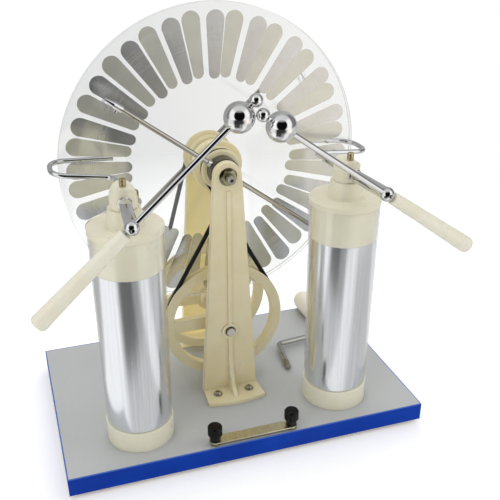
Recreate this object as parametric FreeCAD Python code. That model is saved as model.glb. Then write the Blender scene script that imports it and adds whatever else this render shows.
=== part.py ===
import FreeCAD, Part
import math
import os

# Wimshurst electrostatic machine: two discs on an axle between two standards, two belts from
# a drive shaft below, and two jars in front that carry the collector forks and discharge arms.
# Millimetres. X runs right, Y to the rear, Z up from the floor, where the rubber feet stand.
# Pieces are drawn from the base's centre, tower pieces from the standards' centre line;
# save() and save_tower() move them to the frame's origin.

os.makedirs("parts", exist_ok=True)
Vector = FreeCAD.Vector
RIGHT_AXIS, BACK_AXIS, UP_AXIS = (1, 0, 0), (0, 1, 0), (0, 0, 1)

# ---------------------------------------------------------------- driving sizes
BASE_W, BASE_D = 360.0, 223.0
FOOT_H = 5.0
BOARD_TOP = 23.2
SHEET_T = 0.8
BASE_TOP = BOARD_TOP + SHEET_T
BAND_T = 1.0
ORIGIN_X, ORIGIN_Y = -7.12, 15.52  # shift from the base's centre to the frame's origin
TOWER_X = 1.6                      # standards' centre line, right of the base's centre

AXLE_H, SHAFT_H = 238.0, 72.2      # heights above the base's top
DISC_Z, SHAFT_Z = BASE_TOP + AXLE_H, BASE_TOP + SHAFT_H
AXLE_R, SHAFT_R = 4.0, 4.5
RUN = 0.06                         # radial running clearance
BORE_R = AXLE_R + RUN
DISC_MID_Y = 27.8                  # mirror plane between the discs
STD_MID_Y = 25.5                   # mirror plane between the standards
STD_FRONT = -25.0                  # front face of the front standard's web
FOOT_PLATE_T = 4.0

BIG_BELT_R, SMALL_BELT_R = 61.4, 17.1  # belt centre-line radii
BIG_PULLEY_R, SMALL_PULLEY_R = 64.0, 19.6
PULLEY_HALF = 4.5
BELT_R = 2.2
BELT_Y = 1.0                       # front belt plane; the rear one is its mirror image

LEFT, RIGHT = -1, 1
SIDES = {"left": LEFT, "right": RIGHT}
JAR_X, JAR_Y = 102.8, -63.5
PIVOT_Z = BASE_TOP + 245.0
SWIVEL = {LEFT: -4.3, RIGHT: 5.5}  # degrees about Z; both turn the head's front outwards
LINK_X, LINK_Y = 39.0, -104.4      # posts of the link strip

SCREW_XY = [(x, y) for y in (-35.5, 2 * STD_MID_Y + 35.5) for x in (-17.0, 17.0)]
LINK_XY = [(-LINK_X, LINK_Y), (LINK_X, LINK_Y)]
FOOT_XY = [(-160.0, -91.0), (160.0, -91.0), (160.0, 91.0), (-160.0, 91.0)]


# ---------------------------------------------------------------- helpers
def cylinder(radius, length, start, axis=UP_AXIS):
    return Part.makeCylinder(radius, length, Vector(*start), Vector(*axis))


def box(x0, x1, y0, y1, z0, z1):
    return Part.makeBox(x1 - x0, y1 - y0, z1 - z0, Vector(x0, y0, z0))


def ring(outer, inner, length, start, axis=UP_AXIS):
    """Round ring; the hole's cutter starts 1 mm before it and ends 1 mm beyond."""
    hole_start = Vector(*start) - Vector(*axis) * 1.0
    return cylinder(outer, length, start, axis).cut(cylinder(inner, length + 2.0, hole_start, axis))


def arc(start, middle, end):
    return Part.Arc(start, middle, end).toShape()


def edge_face(edges):
    return Part.Face(Part.Wire(edges))


def polygon_face(points):
    points = [Vector(*p) for p in points]
    return Part.Face(Part.makePolygon(points + [points[0]]))


def revolve(face, axis):
    return face.revolve(Vector(0, 0, 0), Vector(*axis), 360)


def turn_y(profile, z=0):
    """Turned piece: profile of (radius, y) about the Y axis at height z."""
    shape = revolve(polygon_face([(r, y, 0) for r, y in profile]), BACK_AXIS)
    shape.translate(Vector(0, 0, z))
    return shape


def turn_z(profile):
    """Turned piece: profile of (radius, z) about the Z axis."""
    return revolve(polygon_face([(r, 0, z) for r, z in profile]), UP_AXIS)


def mirror_y(shape, plane_y):
    return shape.mirror(Vector(0, plane_y, 0), Vector(0, 1, 0))


def moved(shape, x, y, z=0):
    shape = shape.copy()
    shape.translate(Vector(x, y, z))
    return shape


def tilted(shape, degrees):
    """Copy turned about the Y axis, anticlockwise seen from the front."""
    shape = shape.copy()
    shape.rotate(Vector(0, 0, 0), Vector(0, -1, 0), degrees)
    return shape


def aligned(shape, start, direction):
    """Lay a piece drawn along Z along direction, its origin at start."""
    shape.Placement = FreeCAD.Placement(start, FreeCAD.Rotation(Vector(0, 0, 1), direction))
    return shape


def hexagon(across_flats, length, start, axis=UP_AXIS):
    """Hexagonal prism standing on start along axis."""
    normal = Vector(*axis)
    normal.normalize()
    reference = Vector(0, 0, 1) if abs(normal.z) < 0.9 else Vector(1, 0, 0)
    across = normal.cross(reference).normalize()
    along = normal.cross(across)
    corner_r = across_flats / math.sqrt(3.0)
    points = []
    for k in range(6):
        angle = math.radians(60 * k)
        points.append(Vector(*start) + across * (corner_r * math.cos(angle))
                      + along * (corner_r * math.sin(angle)))
    return polygon_face(points).extrude(normal * length)


def rounded_path(points, radii):
    """Polyline with rounded corners; radii belong to the inner points."""
    points = [Vector(*p) for p in points]
    edges = []
    start = points[0]
    for before, corner, after, radius in zip(points, points[1:], points[2:], radii):
        to_before = (before - corner).normalize()
        to_after = (after - corner).normalize()
        half = math.acos(max(-1.0, min(1.0, to_before.dot(to_after)))) / 2.0
        run = radius / math.tan(half)
        arc_start = corner + to_before * run
        arc_end = corner + to_after * run
        bisector = (to_before + to_after).normalize()
        arc_middle = corner + bisector * (radius / math.sin(half) - radius)
        if (arc_start - start).Length > 1e-4:
            edges.append(Part.makeLine(start, arc_start))
        edges.append(arc(arc_start, arc_middle, arc_end))
        start = arc_end
    edges.append(Part.makeLine(start, points[-1]))
    return Part.Wire(edges)


def sweep(wire, radius):
    """Round bar along a wire."""
    first = wire.OrderedEdges[0]
    start = first.firstVertex(True).Point
    heading = first.tangentAt(first.FirstParameter)
    if first.Orientation == "Reversed":
        heading = first.tangentAt(first.LastParameter) * -1.0
    section = Part.Wire([Part.makeCircle(radius, start, heading)])
    bar = wire.makePipeShell([section], True, False)
    # The pipe can come back as an open shell type or inside out
    if bar.ShapeType != "Solid":
        bar = Part.makeSolid(bar)
    if bar.Volume < 0:
        bar.reverse()
    return bar


def save(name, items, shift_x=ORIGIN_X):
    solids = []
    for item in items:
        solids += item.Solids
    piece = solids[0] if len(solids) == 1 else Part.makeCompound(solids)
    piece.translate(Vector(shift_x, ORIGIN_Y, 0))
    piece.exportStep("parts/%s.step" % name)


def save_tower(name, items):
    save(name, items, ORIGIN_X + TOWER_X)


def save_mirrored(name, shape, plane_y):
    """Save a front tower piece and its mirror image as the rear one."""
    save_tower("front_" + name, [shape])
    save_tower("rear_" + name, [mirror_y(shape, plane_y)])


# ---------------------------------------------------------------- base
def drilled(shape, places, radius, length, bottom):
    for x, y in places:
        shape = shape.cut(cylinder(radius, length, (x, y, bottom)))
    return shape


def base():
    half_w, half_d = BASE_W / 2 - BAND_T, BASE_D / 2 - BAND_T
    screw_places = [(x + TOWER_X, y) for x, y in SCREW_XY]
    board = box(-half_w, half_w, -half_d, half_d, FOOT_H, BOARD_TOP)
    board = drilled(board, screw_places, 1.95, 17.0, BASE_TOP - 17.0)
    board = drilled(board, LINK_XY, 2.02, 15.0, BASE_TOP - 15.0)
    save("base_board", [board])
    sheet = box(-half_w, half_w, -half_d, half_d, BOARD_TOP, BASE_TOP)
    sheet = drilled(sheet, screw_places, 2.2, 4.0, BASE_TOP - 2.0)
    sheet = drilled(sheet, LINK_XY, 2.1, 4.0, BASE_TOP - 2.0)
    save("base_top_sheet", [sheet])
    band = box(-BASE_W / 2, BASE_W / 2, -BASE_D / 2, BASE_D / 2, FOOT_H, BASE_TOP)
    band = band.cut(box(-half_w, half_w, -half_d, half_d, FOOT_H - 1, BASE_TOP + 1))
    save("base_edge_band", [band])
    foot = turn_z([(0, 0), (6.4, 0), (7.2, 0.8), (8.0, FOOT_H), (0, FOOT_H)])
    save("rubber_feet", [moved(foot, x, y) for x, y in FOOT_XY])


base()

# ---------------------------------------------------------------- standards
# Heights in this section are above the base's top
STD_TOP_R = 13.5
STD_HALF_W = 29.0
WEB_DEPTH = 8.0
WEB_T = 3.0
# Gusset between the rib and the foot: (y from the web's front face, z)
GUSSET = [(1, 63), (-1.8, 63), (-2.6, 42), (-6, 24), (-13, 11), (-22, 3), (1, 3)]


def web_outline(top_r, half_w, bottom, y):
    """Face of a tapered plate with a round top, in the plane at y."""
    centre = Vector(0, 0, AXLE_H)
    corner = Vector(half_w, 0, bottom)
    reach = corner - centre
    angle = math.acos(top_r / reach.Length) + math.atan2(reach.z, reach.x)
    right = Vector(top_r * math.cos(angle), 0, AXLE_H + top_r * math.sin(angle))
    left = Vector(-right.x, 0, right.z)
    left_corner = Vector(-half_w, 0, bottom)
    face = edge_face([Part.makeLine(corner, right),
                      arc(right, Vector(0, 0, AXLE_H + top_r), left),
                      Part.makeLine(left, left_corner),
                      Part.makeLine(left_corner, corner)])
    face.translate(Vector(0, y, 0))
    return face


def foot_plate():
    """Plate with a bowed front and a bowed back."""
    y = STD_FRONT
    front_left, front_right = Vector(-30.5, y - 23.5, 0), Vector(30.5, y - 23.5, 0)
    side_left, side_right = Vector(-29, y, 0), Vector(29, y, 0)
    back_left, back_right = Vector(-28, y + 4, 0), Vector(28, y + 4, 0)
    edges = [Part.makeLine(side_left, front_left),
             arc(front_left, Vector(0, y - 28.0, 0), front_right),
             Part.makeLine(front_right, side_right),
             Part.makeLine(side_right, back_right),
             arc(back_right, Vector(0, y + 10.5, 0), back_left),
             Part.makeLine(back_left, side_left)]
    return edge_face(edges).extrude(Vector(0, 0, FOOT_PLATE_T))


def standard():
    """Front standard."""
    y = STD_FRONT
    body = web_outline(STD_TOP_R, STD_HALF_W, 0.0, y).extrude(Vector(0, WEB_DEPTH, 0))
    recess = web_outline(STD_TOP_R - WEB_T, STD_HALF_W - WEB_T, 17.0, y + WEB_T)
    body = body.cut(recess.extrude(Vector(0, WEB_DEPTH, 0)))
    # bosses behind the web, and the raised ring round the drive shaft in front
    body = body.fuse(cylinder(12.2, 6.0, (0, y + WEB_T, AXLE_H), BACK_AXIS))
    body = body.fuse(cylinder(9.0, 7.0, (0, y + WEB_T, SHAFT_H), BACK_AXIS))
    body = body.fuse(cylinder(8.8, 1.8, (0, y - 1.8, SHAFT_H), BACK_AXIS))
    # rib down the front, flaring into the foot
    body = body.fuse(box(-2.0, 2.0, y - 1.8, y + 1, 62.0, 224.0))
    gusset = polygon_face([(-2.0, y + dy, z) for dy, z in GUSSET])
    body = body.fuse(gusset.extrude(Vector(4.0, 0, 0)))
    body = body.fuse(foot_plate())
    for screw_x, screw_y in SCREW_XY[:2]:
        body = body.cut(cylinder(2.2, 8.0, (screw_x, screw_y, -1.0)))
    # bearing holes and their counterbores
    body = body.cut(cylinder(BORE_R, 20.0, (0, y - 5, AXLE_H), BACK_AXIS))
    body = body.cut(cylinder(8.7, 4.5, (0, y - 2.0, AXLE_H), BACK_AXIS))
    body = body.cut(cylinder(SHAFT_R + RUN, 30.0, (0, y - 5, SHAFT_H), BACK_AXIS))
    body = body.cut(cylinder(5.5, 5.0, (0, y - 3.0, SHAFT_H), BACK_AXIS))
    body.translate(Vector(0, 0, BASE_TOP))
    return body.removeSplitter()


def standard_screw():
    """Washer and cross-slotted screw, standing on z = 0."""
    washer = ring(4.6, 2.05, 0.8, (0, 0, 0))
    screw = turn_z([(0, 0.8), (3.9, 0.8), (3.9, 1.9), (3.0, 3.0), (1.6, 3.5), (0, 3.6)])
    screw = screw.fuse(cylinder(1.9, 20.0, (0, 0, -19.0)))
    screw = screw.cut(box(-2.3, 2.3, -0.45, 0.45, 2.2, 5))
    screw = screw.cut(box(-0.45, 0.45, -2.3, 2.3, 2.2, 5))
    return [washer, screw.removeSplitter()]


save_mirrored("standard", standard(), STD_MID_Y)
save_tower("standard_screws", [moved(shape, x, y, BASE_TOP + FOOT_PLATE_T)
                               for x, y in SCREW_XY for shape in standard_screw()])

# ---------------------------------------------------------------- disc axle
AXLE_FRONT = -37.0
AXLE_BACK = 2 * STD_MID_Y - AXLE_FRONT
WASHER_Y = -23.7
NUT_L = 6.5


def disc_axle():
    axle = turn_y([(0, AXLE_FRONT), (3.0, AXLE_FRONT), (AXLE_R, AXLE_FRONT + 1.2),
                   (AXLE_R, AXLE_BACK - 1.2), (3.0, AXLE_BACK), (0, AXLE_BACK)], DISC_Z)
    # turned centres in both ends
    for y, inward in ((AXLE_FRONT, 1), (AXLE_BACK, -1)):
        axle = axle.cut(turn_y([(0, y - inward), (1.9, y - inward), (1.7, y),
                                (0.75, y + inward * 1.6), (0.75, y + inward * 3.0),
                                (0, y + inward * 3.4)], DISC_Z))
    return axle


def axle_nut():
    """Hexagon nut with both ends chamfered by a turned blank."""
    front = WASHER_Y - NUT_L
    nut = hexagon(13.0, NUT_L, (0, front, DISC_Z), BACK_AXIS)
    blank = turn_y([(0, front), (6.3, front), (7.8, front + 1), (7.8, WASHER_Y - 1),
                    (6.3, WASHER_Y), (0, WASHER_Y)], DISC_Z)
    return nut.common(blank).cut(cylinder(AXLE_R + 0.02, 10, (0, -32, DISC_Z), BACK_AXIS))


save_tower("disc_axle", [disc_axle()])
nut = axle_nut()
save_tower("axle_nuts", [nut, mirror_y(nut, STD_MID_Y)])
washer = ring(8.0, AXLE_R + 0.1, 1.2, (0, WASHER_Y, DISC_Z), BACK_AXIS)
save_tower("axle_washers", [washer, mirror_y(washer, STD_MID_Y)])
save_tower("disc_spacer", [ring(9.0, BORE_R, 1.8, (0, DISC_MID_Y - 0.9, DISC_Z), BACK_AXIS)])

# ---------------------------------------------------------------- discs, sectors, hubs
DISC_R = 149.0
DISC_FRONT, DISC_BACK = 24.3, 26.8       # faces of the front disc
REAR_FACE = 2 * DISC_MID_Y - DISC_FRONT  # rear face of the rear disc
SECTORS = 20
SECTOR_OUT, SECTOR_IN = 142.0, 80.0      # radii on the disc the sectors reach
SECTOR_OUT_R, SECTOR_IN_R = 8.7, 5.3     # radii of their round ends
SECTOR_T = 0.15
FRONT_PHASE, REAR_PHASE = 177.93, 187.07


def disc():
    plate = cylinder(DISC_R, DISC_BACK - DISC_FRONT, (0, DISC_FRONT, DISC_Z), BACK_AXIS)
    return plate.cut(cylinder(12.05, 10, (0, DISC_FRONT - 2, DISC_Z), BACK_AXIS))


def sector(angle, y):
    """One foil sector: two round ends joined by their tangents, turned to angle."""
    outer_x, inner_x = SECTOR_OUT - SECTOR_OUT_R, SECTOR_IN + SECTOR_IN_R
    tangent = math.acos((SECTOR_OUT_R - SECTOR_IN_R) / (outer_x - inner_x))

    def tangent_point(centre_x, radius, side):
        return Vector(centre_x - radius * math.cos(tangent), 0, side * radius * math.sin(tangent))

    outer_top, outer_low = [tangent_point(outer_x, SECTOR_OUT_R, side) for side in (1, -1)]
    inner_top, inner_low = [tangent_point(inner_x, SECTOR_IN_R, side) for side in (1, -1)]
    foil = edge_face([arc(outer_low, Vector(SECTOR_OUT, 0, 0), outer_top),
                      Part.makeLine(outer_top, inner_top),
                      arc(inner_top, Vector(SECTOR_IN, 0, 0), inner_low),
                      Part.makeLine(inner_low, outer_low)]).extrude(Vector(0, SECTOR_T, 0))
    return moved(tilted(foil, angle), 0, y, DISC_Z)


def sector_ring(phase, y):
    return [sector(phase - 360.0 / SECTORS * k, y) for k in range(SECTORS)]


def belt_groove(belt_r, mouth_r):
    """Profile of the V groove, wider at the mouth."""
    floor = belt_r - BELT_R - 0.1
    return [(floor, BELT_Y - 2.35), (mouth_r + 0.6, BELT_Y - 3.4),
            (mouth_r + 0.6, BELT_Y + 3.4), (floor, BELT_Y + 2.35)]


def disc_hub():
    """Small pulley, flange and disc seat in one piece."""
    front = BELT_Y - PULLEY_HALF
    hub = turn_y([(BORE_R, front), (17.9, front), (SMALL_PULLEY_R, front + 0.6),
                  (SMALL_PULLEY_R, 9), (24.2, 9), (25, 9.8), (25, 11.4), (24.2, 12), (21, 12),
                  (20, 22), (22, DISC_FRONT), (12, DISC_FRONT), (12, DISC_BACK),
                  (BORE_R, DISC_BACK)], DISC_Z)
    hub = hub.cut(turn_y(belt_groove(SMALL_BELT_R, 26.0), DISC_Z))
    return hub.cut(turn_y([(6.4, front - 1), (12.5, front - 1), (12.5, front + 0.8),
                           (6.4, front + 0.8)], DISC_Z))


save_mirrored("disc", disc(), DISC_MID_Y)
save_tower("front_sectors", sector_ring(FRONT_PHASE, DISC_FRONT - SECTOR_T))
save_tower("rear_sectors", sector_ring(REAR_PHASE, REAR_FACE))
save_mirrored("hub", disc_hub(), DISC_MID_Y)

# ---------------------------------------------------------------- drive shaft and its pulleys
SHAFT_FRONT = -29.5
SHAFT_BACK = 2 * STD_MID_Y - SHAFT_FRONT + 12.0
GRUB_Y = BELT_Y + 10.0


def drive_shaft():
    shaft = turn_y([(0, SHAFT_FRONT), (SHAFT_R - 0.5, SHAFT_FRONT), (SHAFT_R, SHAFT_FRONT + 0.5),
                    (SHAFT_R, SHAFT_BACK - 0.6), (SHAFT_R - 0.6, SHAFT_BACK),
                    (0, SHAFT_BACK)], SHAFT_Z)
    return shaft.cut(cylinder(2.5, 16.0, (0, SHAFT_BACK - 16.0, SHAFT_Z), BACK_AXIS))


def drive_pulley():
    """Grooved rim on three tapered spokes, with a hub drilled for the grub screw."""
    front, back = BELT_Y - PULLEY_HALF, BELT_Y + PULLEY_HALF
    rim = turn_y([(53.4, front + 0.8), (54.2, front), (63.2, front),
                  (BIG_PULLEY_R, front + 0.8), (BIG_PULLEY_R, back - 0.8), (63.2, back),
                  (54.2, back), (53.4, back - 0.8)])
    rim = rim.cut(turn_y(belt_groove(BIG_BELT_R, BIG_PULLEY_R)))
    pulley = rim.fuse(cylinder(15.0, 11.0, (0, front - 1.0, 0), BACK_AXIS))
    pulley = pulley.fuse(cylinder(11.0, 10.0, (0, back, 0), BACK_AXIS))
    spoke_y = front + 0.8
    spoke = polygon_face([(10, spoke_y, -7.5), (55.5, spoke_y, -5.8),
                          (55.5, spoke_y, 5.8), (10, spoke_y, 7.5)]).extrude(Vector(0, 7.4, 0))
    for angle in (180.0, 60.0, -60.0):
        pulley = pulley.fuse(tilted(spoke, angle))
    pulley = pulley.cut(cylinder(SHAFT_R + 0.01, 40, (0, -10, 0), BACK_AXIS))
    pulley = pulley.cut(cylinder(1.52, 20, (0, GRUB_Y, 0)))
    pulley = pulley.removeSplitter()
    pulley.translate(Vector(0, 0, SHAFT_Z))
    return pulley


save_tower("drive_shaft", [drive_shaft()])
save_mirrored("drive_pulley", drive_pulley(), DISC_MID_Y)
grub = cylinder(1.5, 6.2, (0, GRUB_Y, SHAFT_Z + SHAFT_R + 0.05))
grub = grub.cut(box(-1.2, 1.2, GRUB_Y - 0.3, GRUB_Y + 0.3, SHAFT_Z + 9.9, SHAFT_Z + 12))
save_tower("pulley_screws", [grub, mirror_y(grub, DISC_MID_Y)])

# ---------------------------------------------------------------- belts
SPLICE = 0.08   # half the gap at the butt joint, degrees on the big pulley
CROSS_BOW = 2.4  # how far each crossing run leaves the belt plane
CENTRE_GAP = DISC_Z - SHAFT_Z


def belt_point(centre_z, radius, degrees, y):
    """Point at an angle from straight up, clockwise seen from the front."""
    angle = math.radians(degrees)
    return Vector(radius * math.sin(angle), y, centre_z + radius * math.cos(angle))


def belt_arc(centre_z, radius, start, end, y):
    return arc(*[belt_point(centre_z, radius, degrees, y)
                 for degrees in (start, (start + end) / 2.0, end)])


def crossing_run(start, end, bow):
    """Run between the pulleys, bowed along Y where it passes x = 0."""
    tangent = (end - start).normalize()
    fraction = -start.x / (end.x - start.x)
    middle = start + (end - start) * fraction + Vector(0, bow, 0)
    curve = Part.BSplineCurve()
    curve.interpolate(Points=[start, middle, end], InitialTangent=tangent, FinalTangent=tangent)
    return curve.toShape()


def crossed_belt(y):
    """The two runs cross, one passing behind the other."""
    wrap = 90.0 - math.degrees(math.asin((BIG_BELT_R + SMALL_BELT_R) / CENTRE_GAP))
    up_start = belt_point(SHAFT_Z, BIG_BELT_R, wrap, y)
    up_end = belt_point(DISC_Z, SMALL_BELT_R, -180.0 + wrap, y)
    down_start = belt_point(DISC_Z, SMALL_BELT_R, 180.0 - wrap, y)
    down_end = belt_point(SHAFT_Z, BIG_BELT_R, -wrap, y)
    return sweep(Part.Wire([
        belt_arc(SHAFT_Z, BIG_BELT_R, 180.0 - SPLICE, wrap, y),
        crossing_run(up_start, up_end, CROSS_BOW),
        belt_arc(DISC_Z, SMALL_BELT_R, -180.0 + wrap, 180.0 - wrap, y),
        crossing_run(down_start, down_end, -CROSS_BOW),
        belt_arc(SHAFT_Z, BIG_BELT_R, -wrap, -180.0 + SPLICE, y)]), BELT_R)


def open_belt(y):
    wrap = math.degrees(math.acos((BIG_BELT_R - SMALL_BELT_R) / CENTRE_GAP))
    return sweep(Part.Wire([
        belt_arc(SHAFT_Z, BIG_BELT_R, 180.0 - SPLICE, wrap, y),
        Part.makeLine(belt_point(SHAFT_Z, BIG_BELT_R, wrap, y),
                      belt_point(DISC_Z, SMALL_BELT_R, wrap, y)),
        belt_arc(DISC_Z, SMALL_BELT_R, wrap, -wrap, y),
        Part.makeLine(belt_point(DISC_Z, SMALL_BELT_R, -wrap, y),
                      belt_point(SHAFT_Z, BIG_BELT_R, -wrap, y)),
        belt_arc(SHAFT_Z, BIG_BELT_R, -wrap, -180.0 + SPLICE, y)]), BELT_R)


save_tower("front_belt", [crossed_belt(BELT_Y)])
save_tower("rear_belt", [open_belt(2 * DISC_MID_Y - BELT_Y)])

# ---------------------------------------------------------------- neutralisers
ROD_START, ROD_END = 9.0, 116.0  # distances from the axle
ROD_HOLE_R = 2.32
BRUSH_GAP = 0.6                  # from the brush tips' centre lines to the foil


def brush_holder(y):
    """Sleeve, tapered nose and screw peg at the rod's outer end."""
    holder = cylinder(3.3, 9.0, (113.0, y, 0), RIGHT_AXIS)
    holder = holder.fuse(Part.makeCone(2.6, 1.1, 9.5, Vector(121.9, y, 0), Vector(1, 0, 0)))
    holder = holder.fuse(cylinder(1.7, 5.4, (117.5, y, 0)))
    holder = holder.cut(cylinder(ROD_HOLE_R, 3.2, (112.9, y, 0), RIGHT_AXIS))
    return holder.removeSplitter()


def brush_strands(y, tip_y, bend):
    """Three strands from the nose back to the disc; bend gives the side they lean to."""
    strands = []
    for k in (-1, 0, 1):
        root = Vector(132.5, y, 0.5 * k)
        tip = Vector(116.5 + 1.2 * k, tip_y, bend * (16.0 + 2.6 * k))
        strands.append(hexagon(0.62, (tip - root).Length, root, tip - root))
    return strands


def neutraliser(prefix, ring_front, ring_back, rod_y, angle, tip_y, bend):
    """Ring on the axle with two opposite rods, their clamps and brushes."""
    body = ring(14.5, BORE_R, ring_back - ring_front, (0, ring_front, 0), BACK_AXIS)
    arm = {
        "rods": [cylinder(2.3, ROD_END - ROD_START, (ROD_START, rod_y, 0), RIGHT_AXIS)],
        "clamps": [brush_holder(rod_y), ring(3.4, 2.34, 4.0, (14.8, rod_y, 0), RIGHT_AXIS)],
        "brushes": brush_strands(rod_y, tip_y, bend),
    }
    hole = cylinder(ROD_HOLE_R, 10.0, (ROD_START - 0.02, rod_y, 0), RIGHT_AXIS)
    turns = (angle, angle + 180.0)
    for turn in turns:
        body = body.cut(tilted(hole, turn))
    save_tower(prefix + "_neutraliser_ring", [moved(body, 0, 0, DISC_Z)])
    for name, shapes in arm.items():
        save_tower("%s_neutraliser_%s" % (prefix, name),
                   [moved(tilted(shape, turn), 0, 0, DISC_Z)
                    for turn in turns for shape in shapes])


neutraliser("front", ring_front=-15.4, ring_back=-4.0, rod_y=-9.3, angle=143.6,
            tip_y=DISC_FRONT - SECTOR_T - BRUSH_GAP, bend=1)
neutraliser("rear", ring_front=59.5, ring_back=66.6, rod_y=62.6, angle=42.0,
            tip_y=REAR_FACE + SECTOR_T + BRUSH_GAP, bend=-1)

# ---------------------------------------------------------------- jars
# Each piece is drawn on the jar's axis, z = 0 at the base's top
COVER_R, COVER_FOOT = 31.5, 21.0
COVER_DRAFT = 0.0077  # radius growth per mm of height
GLASS_TOP = 181.4


def cover_r(height):
    return COVER_R + (height - COVER_FOOT) * COVER_DRAFT


def sleeve(outer, inner, low, high):
    """Thin drafted sleeve; outer and inner are depths below the cover's surface."""
    return turn_z([(cover_r(low) - inner, low), (cover_r(low) - outer, low),
                   (cover_r(high) - outer, high), (cover_r(high) - inner, high)])


def collar():
    return turn_z([(0, 0), (32.3, 0), (32.3, 20.2), (31.5, COVER_FOOT), (30.1, COVER_FOOT),
                   (30.1, 3), (0, 3)])


def tumbler():
    return turn_z([(0, 3.05), (cover_r(3.05) - 1.65, 3.05),
                   (cover_r(GLASS_TOP) - 1.65, GLASS_TOP),
                   (cover_r(GLASS_TOP) - 4.05, GLASS_TOP), (cover_r(6.0) - 4.05, 6), (0, 6)])


def jar_cap():
    """Plug in the cover's mouth, rim and tapered neck."""
    cap = turn_z([(0, 209), (27.9, 209), (27.9, 181.5), (cover_r(181.5) - 1.25, 181.5),
                  (cover_r(214.6) - 1.25, 214.6), (cover_r(214.6) - 1.85, 215.4),
                  (33.5, 215.4), (33.5, 220.2), (32.7, 221), (17.2, 221), (16.6, 222),
                  (14.3, 236.9), (0, 236.9)])
    cap = cap.cut(cylinder(7.05, 20.0, (0, 0, 225.0)))
    return cap.cut(cylinder(2.55, 40.0, (0, 0, 200.0)))


def contact_rod():
    """Stem, disc and three spring fingers that reach the inner foil."""
    contact = cylinder(2.5, 120.0, (0, 0, 105.0))
    contact = contact.fuse(cylinder(8.0, 1.5, (0, 0, 105.0)))
    for k in range(3):
        finger = sweep(rounded_path([(7.0, 0, 0), (20.0, 0, 0), (26.4, 0, -14.0)], [4.0]), 0.6)
        finger.rotate(Vector(0, 0, 0), Vector(0, 0, 1), 120 * k + 30)
        finger.translate(Vector(0, 0, 105.75))
        contact = contact.fuse(finger)
    return contact.removeSplitter()


JAR_PIECES = {
    "jar_collars": collar(),
    "jar_covers": sleeve(0.0, 1.15, 21.05, 215.3),
    "outer_foils": sleeve(1.30, 1.55, 21.2, GLASS_TOP),
    "jar_tumblers": tumbler(),
    "inner_foils": sleeve(4.15, 4.40, 6.2, 146.2),
    "jar_caps": jar_cap(),
    "contact_rods": contact_rod(),
}
for name, piece in JAR_PIECES.items():
    save(name, [moved(piece, side * JAR_X, JAR_Y, BASE_TOP) for side in SIDES.values()])


# ---------------------------------------------------------------- jar heads
# Drawn in the head's own frame: front is -Y, origin on the jar's axis at pivot height
HEAD_R = 12.1
TOP_SCREW_Y, SIDE_SCREW_Y = -5.0, 6.0


def head_frame(side):
    return FreeCAD.Placement(Vector(side * JAR_X, JAR_Y, PIVOT_Z),
                             FreeCAD.Rotation(Vector(0, 0, 1), SWIVEL[side]))


def on_head(shape, side):
    shape = shape.copy()
    shape.Placement = head_frame(side).multiply(shape.Placement)
    return shape


def jar_head():
    """Round post with an arched top, a pivot seat in front and a stem seat behind."""
    post = cylinder(HEAD_R, 20.3, (0, 0, -8.0))
    arch = box(-20, 20, -20, 20, -9, 0).fuse(cylinder(HEAD_R, 40, (0, -20, 0), BACK_AXIS))
    head = post.common(arch)
    head = head.fuse(cylinder(6.6, 13.0, (0, -13.0, 0), BACK_AXIS))
    head = head.fuse(cylinder(6.0, 13.0, (0, 0.0, 0), BACK_AXIS))
    head = head.fuse(cylinder(7.0, 11.5, (0, 0, -19.4)))
    head = head.cut(cylinder(BORE_R, 14.0, (0, -14.0, 0), BACK_AXIS))
    head = head.cut(cylinder(4.02, 13.0, (0, 1.0, 0), BACK_AXIS))
    head = head.cut(cylinder(1.52, 14.0, (0, TOP_SCREW_Y, 2.0)))
    head = head.cut(cylinder(1.52, 14.0, (2.0, SIDE_SCREW_Y, 0), RIGHT_AXIS))
    head = head.cut(cylinder(4.15, 10.0, (11.0, SIDE_SCREW_Y, 0), RIGHT_AXIS))
    return head.removeSplitter()


def top_screw():
    screw = turn_z([(0, 4.15), (1.5, 4.15), (1.5, 12.15), (2.6, 12.15), (2.9, 12.55),
                    (2.9, 18.3), (2.4, 18.9), (0, 18.9)])
    screw = screw.cut(box(-3.2, 3.2, -0.4, 0.4, 18.0, 20.0))
    return moved(screw, 0, TOP_SCREW_Y)


def side_screw():
    """Screw lying along X, its head to the right."""
    screw = turn_z([(0, 0), (1.5, 0), (1.5, 6.9), (4.0, 6.9), (4.0, 8.6), (3.2, 9.5), (0, 9.7)])
    screw = screw.cut(box(-4.5, 4.5, -0.4, 0.4, 8.7, 12))
    screw.rotate(Vector(0, 0, 0), Vector(0, 1, 0), 90)
    return moved(screw, 4.15, SIDE_SCREW_Y)


def fork_stem():
    stem = cylinder(4.0, 36.5, (0, 2.0, 0), BACK_AXIS)
    return stem.cut(cylinder(2.42, 12, (0, 30.0, 0), BACK_AXIS))


HEAD_PIECES = {
    "jar_heads": [jar_head()],
    "head_screws": [top_screw(), side_screw()],
    "fork_stems": [fork_stem()],
}
for name, shapes in HEAD_PIECES.items():
    save(name, [on_head(shape, side) for side in SIDES.values() for shape in shapes])

# ---------------------------------------------------------------- collector forks
# (x, y, z above the base's top): corner after the stem, the two corners of the U round the
# discs' edge, free end
FORKS = {
    LEFT: [(-101.5, -1.5, 241.6), (-155.3, 6.0, 247.2), (-154.3, 41.5, 248.6),
           (-93.5, 44.0, 245.0)],
    RIGHT: [(96.6, -5.0, 244.6), (158.3, 3.0, 237.4), (157.5, 40.5, 237.4),
            (98.0, 42.0, 243.5)],
}
FORK_RADII = [6.0, 8.0, 15.0, 15.0]


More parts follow.
